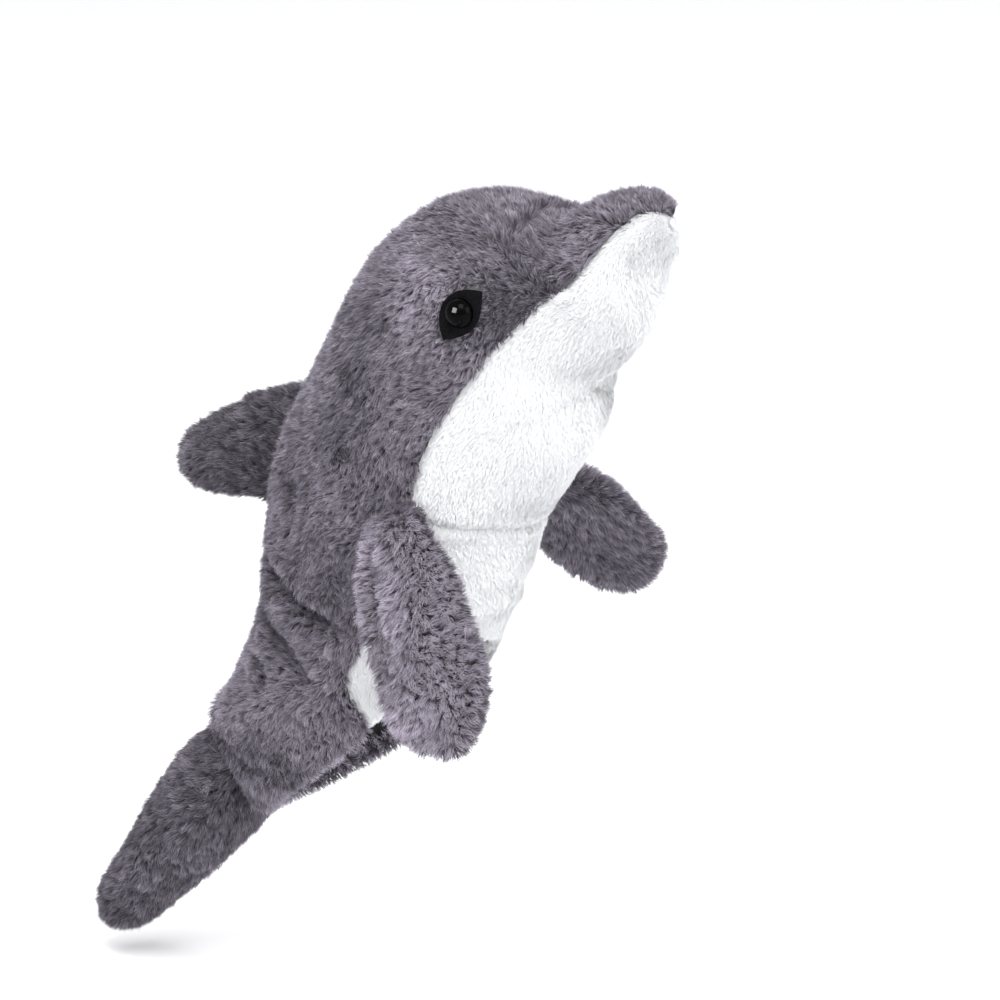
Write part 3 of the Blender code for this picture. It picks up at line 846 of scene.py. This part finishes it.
def felt_paint():
    paint = Paint("black_felt", Roughness=0.85, Specular_IOR_Level=0.0)
    place = paint.place()
    fibre = paint.node("Mapping", {"Vector": place, "Scale": (1.0, 1.0, 0.35)}).outputs["Vector"]
    hairs = paint.noise(fibre, 1500.0, 4.0, 0.7)
    colour = paint.ramp(hairs, ((0.3, (0.003, 0.003, 0.0035)), (0.75, (0.012, 0.011, 0.012))))
    paint.feed("Base Color", colour)
    paint.bump(hairs, 0.5, 0.0003)
    return paint.material


def gloss_paint():
    """Moulded eye plastic: nearly black, with a faint brown depth."""
    stops = ((0.35, (0.0006, 0.0006, 0.0008)), (0.75, (0.002, 0.0017, 0.0016)))
    return grained_paint("black_gloss_plastic", (160,), stops, Roughness=0.05, IOR=1.12)


def fill_paint():
    stops = ((0.3, (0.62, 0.62, 0.60)), (0.7, (0.90, 0.90, 0.88)))
    bump = (0.8, 0.0015)
    return grained_paint("polyester_fill", (300, 5, 0.7), stops, bump, Roughness=0.95, Sheen_Weight=0.4)


def washer_paint():
    stops = ((0.3, (0.66, 0.66, 0.62)), (0.7, (0.80, 0.80, 0.77)))
    return grained_paint("washer_plastic", (220,), stops, (0.15, 0.0003), Roughness=0.38)


def floor_paint():
    stops = ((0.3, (0.95, 0.95, 0.955)), (0.7, (0.965, 0.965, 0.97)))
    return grained_paint("studio_paper", (3, 3), stops, Roughness=0.75, Specular_IOR_Level=0.0)


# ==== body pieces
def panel(name, rows, angles, material, nodes):
    """One sewn panel of the skin, as a sheet with some thickness."""
    row = np.repeat(rows[:, None], angles.shape[1], 1)
    mesh = shell_mesh(name, body_skin(row, angles), body_skin(row, angles, SKIN_THICK))
    made = link(name, mesh, material, "body")
    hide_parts(*nodes)
    return made


def angles_across(rows, first, last, columns):
    return np.linspace(first(rows), last(rows), columns).T


def body_panels(grey, white):
    below = np.linspace(CREASE, LAST_ROW, 260)
    beak = np.linspace(0, CREASE, 80)
    half_turn = np.vectorize(lambda row: math.pi)
    right = angles_across(below, seam_angle, half_turn, 110)
    panel("side_skin_right", below, right, grey, ["side_panel_right"])
    panel("side_skin_left", below, 2 * math.pi - right[:, ::-1], grey, ["side_panel_left"])
    over = angles_across(beak, seam_angle, lambda rows: 2 * math.pi - seam_angle(rows), 160)
    panel("beak_skin", beak, over, grey, ["beak_panel"])
    for name, node, first, last, count in (
        ("chin_skin", "chin_panel", 0, CHEST_SEAM, 210),
        ("belly_skin", "belly_panel", CHEST_SEAM, LAST_ROW, 120),
    ):
        rows = np.linspace(first, last, count)
        across = angles_across(rows, lambda r: -seam_angle(r), seam_angle, 100)
        panel(name, rows, across, white, [node])


def beak_tip(material):
    """The gathered end of the beak, where all panels meet."""
    turn = full_turn(60)
    rim = body_skin(np.zeros_like(turn), turn)
    behind = body_skin(np.full_like(turn, 0.25), turn, 0.6)
    middle, out = rim.mean(0), unit(rim.mean(0) - behind.mean(0))
    rings = [behind, rim]
    for share, height in ((0.7, 0.5), (0.35, 0.8)):
        rings.append(middle + (rim - middle) * share + out * height)
    mesh = tube_mesh("beak_tip_skin", np.array(rings), behind.mean(0), middle + out)
    link("beak_tip_skin", mesh, material, "body")


def root_clearance(points, fins):
    """0 where a fin's root covers the body, 1 elsewhere."""
    free = np.ones(points.shape[:-1])
    for fin in fins:
        offset = points - fin.middle
        wide = offset @ fin.width / (fin.half_width - 9)
        high = offset @ fin.thick / (fin.half_thick * 0.6)
        near = np.abs(offset @ fin.normal) < 30
        free = np.where(near & (wide**2 + high**2 < 1), 0.0, free)
    return free


def patch_clearance(points):
    """0 under the almond-shaped eye patches, 1 elsewhere."""
    free = np.ones(points.shape[:-1])
    for angle in (math.radians(EYE_ANGLE), math.radians(360 - EYE_ANGLE)):
        middle, normal, width, thick = tangent_frame(EYE_SECTION, angle, PATCH_DIRECTION, (0, 0, 1))
        offset = points - middle
        along = np.clip(np.abs(offset @ width) / (PATCH_LENGTH / 2 + 0.8), 0, 1)
        half = (PATCH_WIDTH / 2 + 1.0) * (1 - along**2)
        inside = (np.abs(offset @ thick) < half) & (np.abs(offset @ normal) < 14)
        free = np.where(inside, 0.0, free)
    return free


def body_pile(grey, white, fins):
    rows = np.arange(0, 20.2, 0.05)
    turns = np.radians(np.arange(0, 361))
    row, angle = np.meshgrid(rows, turns, indexing="ij")
    points = body_skin(row, angle)
    from_front = np.abs(np.mod(angle + math.pi, 2 * math.pi) - math.pi)
    is_grey = from_front > seam_angle(row)
    free = root_clearance(points, fins) * patch_clearance(points)
    free = free * (1 - 0.75 * smooth(row, 19.4, 20.2))
    down = np.gradient(points, axis=0)
    comb = down * (2 * smooth(row, 0.2, 0.8) - 1)[..., None]
    near_eye = eye_nearness(points, 14, 34)
    to_seam = np.abs(from_front - seam_angle(row)) * 65
    grey_length = GREY_PILE * (1 - 0.5 * near_eye) * np.interp(row, (0, 1, 3), (0.5, 0.75, 1.0))
    grey_length = grey_length * (0.72 + 0.28 * smooth(to_seam, 0, 7))
    white_length = WHITE_PILE * np.interp(row, (0, 0.8, 1.5), (0.65, 0.9, 1.0))
    height = points[..., 2]
    # Lighter pile towards the top and towards the bottom, and painted light on the rolled-in hem strip past
    # row 19, which lies in shade.
    lift_and_painted_light = 0.06 * smooth(height, 70, 130) + 0.1 * smooth(-height, 20, 150) + 0.35 * smooth(row, 19.0, 19.5)
    lift_and_painted_light = lift_and_painted_light + face_tone(points)
    style = dict(GREY_STYLE, lighter=lift_and_painted_light + 0.09)
    coat("pile_grey", points, 1, is_grey * free, comb, grey_length, style, grey, on_body())
    place = on_body()
    coat("pile_white", points, 1, ~is_grey * free, down, white_length, WHITE_STYLE, white, place)


def on_body():
    def place(piece):
        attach(piece, "body")

    return place


def stuffing(name, grid, body, node, material, seed):
    """Lumpy polyester fill: a closed form with the bulges of wadding."""
    normal = grid_normals(np.concatenate((grid, grid[:, :1]), 1), 1)[:, :-1]
    if np.einsum("ijk,ijk->", normal, grid - grid.mean((0, 1))) < 0:
        normal = -normal
    lumpy = grid + normal * (waves(grid, 16, seed) * 0.9 - 0.9)[..., None]
    made = link(name, tube_mesh(name, lumpy, lumpy[0].mean(0), lumpy[-1].mean(0)), material, body)
    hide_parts(node)


def head_fill(material):
    rows = np.linspace(1.4, POCKET_END - 0.5, 90)
    turn = full_turn(120)
    row, angle = np.meshgrid(rows, turn, indexing="ij")
    depth = (GREY_DEPTH + 3.6 + 0.6 * hollow_at(row, angle)) * np.interp(row, (1.4, 3.5), (0.75, 1.0))
    stuffing("head_fill", skin_point(row, angle, depth), "body", "head_stuffing", material, 41)


def lining_ring(row, turn, depth):
    gather = 0.5 * np.sin(turn * 46) * smooth(row, 17.4, 18.6) + 0.35 * waves(body_point(row, turn), 14, 61)
    return skin_point(row, turn, depth + gather)


def lining(material):
    """The black jersey sock that holds the club head, closed at the top and gathered at the hem."""
    turn = full_turn(240)
    rows = np.linspace(12.3, MOUTH - 0.1, 120)
    outer, inner = [], []
    for share, height in ((0.25, 0.2), (0.5, 0.1), (0.75, 0.0), (0.93, -0.3)):
        flat = skin_point(np.full_like(turn, POCKET_END), turn, 12.5)
        flat[:, :2] *= share
        flat[:, 2] = height
        inner.append(flat)
        outer.append(flat + (0, 0, 1.2))
    for row in rows:
        deep = np.interp(row, (12.3, 13.0, 18.6, 19.0), (12.2, 10.8, 10.8, 9.6))
        outer.append(lining_ring(np.full_like(turn, row), turn, deep))
        inner.append(lining_ring(np.full_like(turn, row), turn, deep + 1.2))
    rings = np.array(outer + inner[::-1])
    mesh = tube_mesh("lining_sock", rings, (0, 0, 1.4), (0, 0, 0.2))
    made = link("lining_sock", mesh, material, "body")
    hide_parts("pocket_lining")
    area = sum(face.area for face in made.data.polygons) / 2
    flat = (LINING_AROUND, area / LINING_AROUND)


def elastic(material):
    turn = full_turn(360)
    rings = []
    for row, side in ((18.5, -1), (18.625, -1), (18.75, -1), (18.75, 1), (18.625, 1), (18.5, 1)):
        ripple = 0.22 * np.sin(turn * 90)
        rings.append(skin_point(np.full_like(turn, row), turn, 9.0 + 0.4 * side + ripple))
    made = link("elastic_band", tube_mesh("elastic_band", np.array(rings)), material, "body")
    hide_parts("hem_elastic")


# ==== eyes
def lathe(profile, columns, middle, axis):
    """Rings of a turned shape: (radius, height) pairs about an axis through a point."""
    across = unit(np.cross(axis, (0.0, 0.0, 1.0)))
    other = np.cross(axis, across)
    turn = full_turn(columns)[:, None]
    rim = np.cos(turn) * across + np.sin(turn) * other
    return np.array([middle + rim * radius + axis * height for radius, height in profile])


def eye(side, angle, felt, gloss):
    angle = math.radians(angle)
    middle, normal, width, thick = tangent_frame(EYE_SECTION, angle, PATCH_DIRECTION, (0, 0, 1))
    base = middle + normal * EYE_BASE_LIFT
    profile = [(STEM_RADIUS, -STEM_END - EYE_BASE_LIFT), (STEM_RADIUS, -0.3), (EYE_RADIUS - 1.2, -0.3)]
    profile += [(EYE_RADIUS - 0.35, -0.1), (EYE_RADIUS - 0.05, 0.25)]
    for step in range(1, 23):
        lean = math.radians(4 * step)
        profile.append((EYE_RADIUS * math.cos(lean), 0.25 + (EYE_HEIGHT - 0.25) * math.sin(lean)))
    rings = lathe(profile, 72, base, normal)
    mesh = tube_mesh("eye_dome_" + side, rings, rings[0].mean(0), base + normal * EYE_HEIGHT)
    dome = link("eye_dome_" + side, mesh, gloss, "body")
    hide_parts("eye_" + side)
    patch = link("eye_felt_" + side, patch_mesh(side, angle, width, thick), felt, "body")
    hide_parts("eye_patch_" + side)


def patch_mesh(side, angle, width, thick):
    """An almond of felt under the eye, with a soft cut edge."""
    turn = full_turn(144)[:, None]
    along, across = np.cos(turn), np.sin(turn)
    hole = STEM_HOLE * (along * width + across * thick)
    rim = PATCH_LENGTH / 2 * along * width + PATCH_WIDTH / 2 * across * np.abs(across) * thick
    under, over = [], []
    for share in (0, 0.2, 0.4, 0.6, 0.8, 0.93, 1):
        offset = hole * (1 - share) + rim * share
        worn = 0.12 * waves(offset, 5, 71)
        round_off = 0.45 * smooth(share, 0.85, 1.0)
        lift = PATCH_LIFT + 0.9 * share**3
        under.append(near_point(EYE_SECTION, angle, offset, -(lift + round_off)))
        over.append(near_point(EYE_SECTION, angle, offset, -(lift + PATCH_THICK - round_off + worn)))
    return tube_mesh("eye_felt_" + side, np.array(under + over[::-1]))


# ==== fins as pieces
def fin_piece(fin, looks, materials):
    """Skin, fill and pile of one fin. The fill moves with the fin's own body; the skin and the pile are not
    attached to any body.
    """
    label, sides, inset, reach, seed, fan, face_light_tones, groove = looks
    grey_skin, grey_pile, fill = materials

    def bend(piece):
        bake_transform(piece)

    grid = fin.skin(inset, 90, 96, ROOT_DEPTH)
    outward = 1 if turns_out(grid) else -1
    size, height = FIN_WAVES
    swell = (waves(grid, size, seed) * height)[..., None]
    grid = grid + grid_normals(grid, outward) * swell * edge_fade(grid)
    crease = groove * side_groove(grid.shape)
    grid = grid - grid_normals(grid, outward) * crease[..., None]
    mesh = tube_mesh(label + "_skin", grid[:, :-1], fin.root_middle(ROOT_DEPTH), grid[-1].mean(0))
    skin = new_piece(label + "_skin", mesh, grey_skin)
    bend(skin)
    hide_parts(*(label + "_" + side for side in sides))
    inner = fin.skin(inset + FILL_INSET, 40, 60, FILL_SUNK)[FILL_START:-3, :-1]
    stuffing(label + "_fill", inner, label, label + "_stuffing", fill, seed + 7)
    # Painted light and shade: where the two tones differ, the outer face is painted lighter as if lit, and
    # the pile in the crease is painted darker as shade.
    lit_face_share = smooth(np.sin(np.linspace(0, 2 * math.pi, grid.shape[1])), -0.2, 0.5)
    tone = face_light_tones[0] + (face_light_tones[1] - face_light_tones[0]) * lit_face_share - 0.06 * crease
    fin_pile(label, fin, grid, outward, grey_pile, dict(FIN_STYLE, seed=seed, lighter=tone), fan, bend)


def side_groove(shape):
    """Share of the crease that parts the back edge of a flipper from its face, down its upper half."""
    rows, turn = np.linspace(0, 1, shape[0])[:, None], np.linspace(0, 2 * math.pi, shape[1])[None]
    across = np.cos(turn) - np.interp(rows, (0.1, 0.5), (-0.42, -0.72))
    along = smooth(rows, 0.08, 0.18) * smooth(-rows, -0.56, -0.4)
    return np.exp(-((across / 0.15) ** 2)) * along * (np.sin(turn) > 0)


def turns_out(grid):
    normal = grid_normals(grid, 1)
    return np.einsum("ijk,ijk->", normal, grid - grid.mean(1, keepdims=True)) > 0


def edge_fade(grid):
    """Keeps noise off the first rows and the tip."""
    rows = np.linspace(0, 1, grid.shape[0])
    return (smooth(rows, 0, 0.15) * smooth(1 - rows, 0, 0.1))[:, None, None]


def fin_pile(label, fin, grid, outward, material, style, fan, place):
    """Pile over a fin, combed to its tip and fanned out to both edges."""
    turn = np.linspace(0, 2 * math.pi, grid.shape[1])
    width = np.array(fin.swing)[:3, :3] @ fin.width
    comb = unit(np.gradient(grid, axis=0)) + np.cos(turn)[None, :, None] * width * fan
    rows = np.linspace(0, 1, grid.shape[0])
    share = np.repeat(smooth(rows, 0.0, 0.03)[:, None], grid.shape[1], 1)
    length = FIN_PILE * np.repeat(np.interp(rows, (0, 0.8, 1), (1, 1, 0.8))[:, None], grid.shape[1], 1)
    coat(label + "_pile", grid, outward, share, comb, length, style, material, place)


# ==== stage, light and camera
def studio():
    """A round pale floor that curves up into its own backdrop, so that it looks the same from every side."""
    profile = [(0.5 * k, FLOOR_LEVEL) for k in range(1, 15)]
    for step in range(1, 13):
        lean = math.radians(7.5 * step)
        rise = FLOOR_CURVE * (1 - math.cos(lean))
        profile.append((FLOOR_FLAT + FLOOR_CURVE * math.sin(lean), FLOOR_LEVEL + rise))
    profile.append((FLOOR_FLAT + FLOOR_CURVE, WALL_TOP))
    turn = full_turn(96)
    rings = np.array([[(r * math.cos(a), r * math.sin(a), z) for a in turn] for r, z in profile]) / MM
    points = np.concatenate((rings.reshape(-1, 3), [(0, 0, FLOOR_LEVEL / MM)]))
    faces = grid_faces(len(profile), 96, wrap=True)
    faces += [(len(points) - 1, (k + 1) % 96, k) for k in range(96)]
    mesh = mesh_of("studio_floor", points, faces)
    new_piece("studio_floor", mesh, floor_paint())


def softbox(name, place, size, power):
    lamp = bpy.data.lights.new(name, "AREA")
    lamp.shape = "SQUARE"
    lamp.size = size
    lamp.energy = power
    made = bpy.data.objects.new(name, lamp)
    made.location = place
    made.rotation_euler = (Vector(LIGHTS_AIM) - Vector(place)).to_track_quat("-Z", "Y").to_euler()
    made.visible_camera = False
    bpy.context.scene.collection.objects.link(made)
    return made


def lights():
    world = bpy.data.worlds.new("studio_world")
    world.use_nodes = True
    sky = world.node_tree.nodes["Background"]
    sky.inputs["Color"].default_value = WORLD_COLOUR
    sky.inputs["Strength"].default_value = WORLD_STRENGTH
    bpy.context.scene.world = world
    lamps = [softbox(*lamp) for lamp in SOFTBOXES]
    # The last one, eye_light, makes the highlight of the eyes and lights no cloth.
    lamps[-1].visible_diffuse = False


def camera():
    azimuth, elevation = math.radians(CAMERA_AZIMUTH), math.radians(CAMERA_ELEVATION)
    level = math.cos(elevation)
    back = Vector((math.sin(azimuth) * level, -math.cos(azimuth) * level, math.sin(elevation)))
    lens = bpy.data.cameras.new("photo_camera")
    lens.lens = CAMERA_LENS
    lens.sensor_width = 36
    lens.clip_end = 60
    made = bpy.data.objects.new("photo_camera", lens)
    made.location = Vector(CAMERA_AIM) + back * CAMERA_DISTANCE
    made.rotation_euler = back.to_track_quat("Z", "Y").to_euler()
    bpy.context.scene.collection.objects.link(made)
    bpy.context.scene.camera = made


# ==== everything together
def build():
    camera()
    studio()
    lights()
    bpy.context.scene.view_settings.view_transform = "Standard"
    grey_skin = skin_paint("grey_backing", (0.035, 0.03, 0.038), (0.07, 0.062, 0.075))
    white_skin = skin_paint("white_backing", (0.78, 0.785, 0.80), (0.81, 0.815, 0.825))
    colours = (0.06, 0.053, 0.065), (0.165, 0.147, 0.178), (0.38, 0.35, 0.41)
    grey = pile_paint("grey_fur", *colours, (0.48, 2.2, 0.72), 0.3, (0.86, 0.82, 0.92))
    colours = (0.785, 0.79, 0.80), (0.795, 0.80, 0.81), (0.805, 0.81, 0.82)
    white = pile_paint("white_fur", *colours, (0.97, 1.01, 0.985), 0.1, (1, 1, 1))
    fill = fill_paint()
    fins = {
        "tail": tail_fin(),
        "dorsal_fin": dorsal_fin(),
        "flipper_right": flipper_fin(72, (0.83, 0, 0.55), (0.49, -0.33, -0.81), 0),
        "flipper_left": flipper_fin(290, (0.9, 0, 0.43), (0.13, 0.36, -0.92), 32),
    }
    body_panels(grey_skin, white_skin)
    beak_tip(white_skin)
    body_pile(grey, white, fins.values())
    head_fill(fill)
    lining(knit_paint("black_jersey", (0.004, 0.004, 0.005), (0.02, 0.02, 0.023), 260.0))
    elastic(knit_paint("elastic_webbing", (0.5, 0.5, 0.48), (0.75, 0.75, 0.72), 320.0))
    felt, gloss, washer = felt_paint(), gloss_paint(), washer_paint()
    eye("right", EYE_ANGLE, felt, gloss)
    eye("left", 360 - EYE_ANGLE, felt, gloss)
    for side in ("right", "left"):
        frame["nodes"]["eye_washer_" + side].material_slots[0].material = washer
    for looks in FIN_LOOKS:
        fin_piece(fins[looks[0]], looks, (grey_skin, grey, fill))


build()
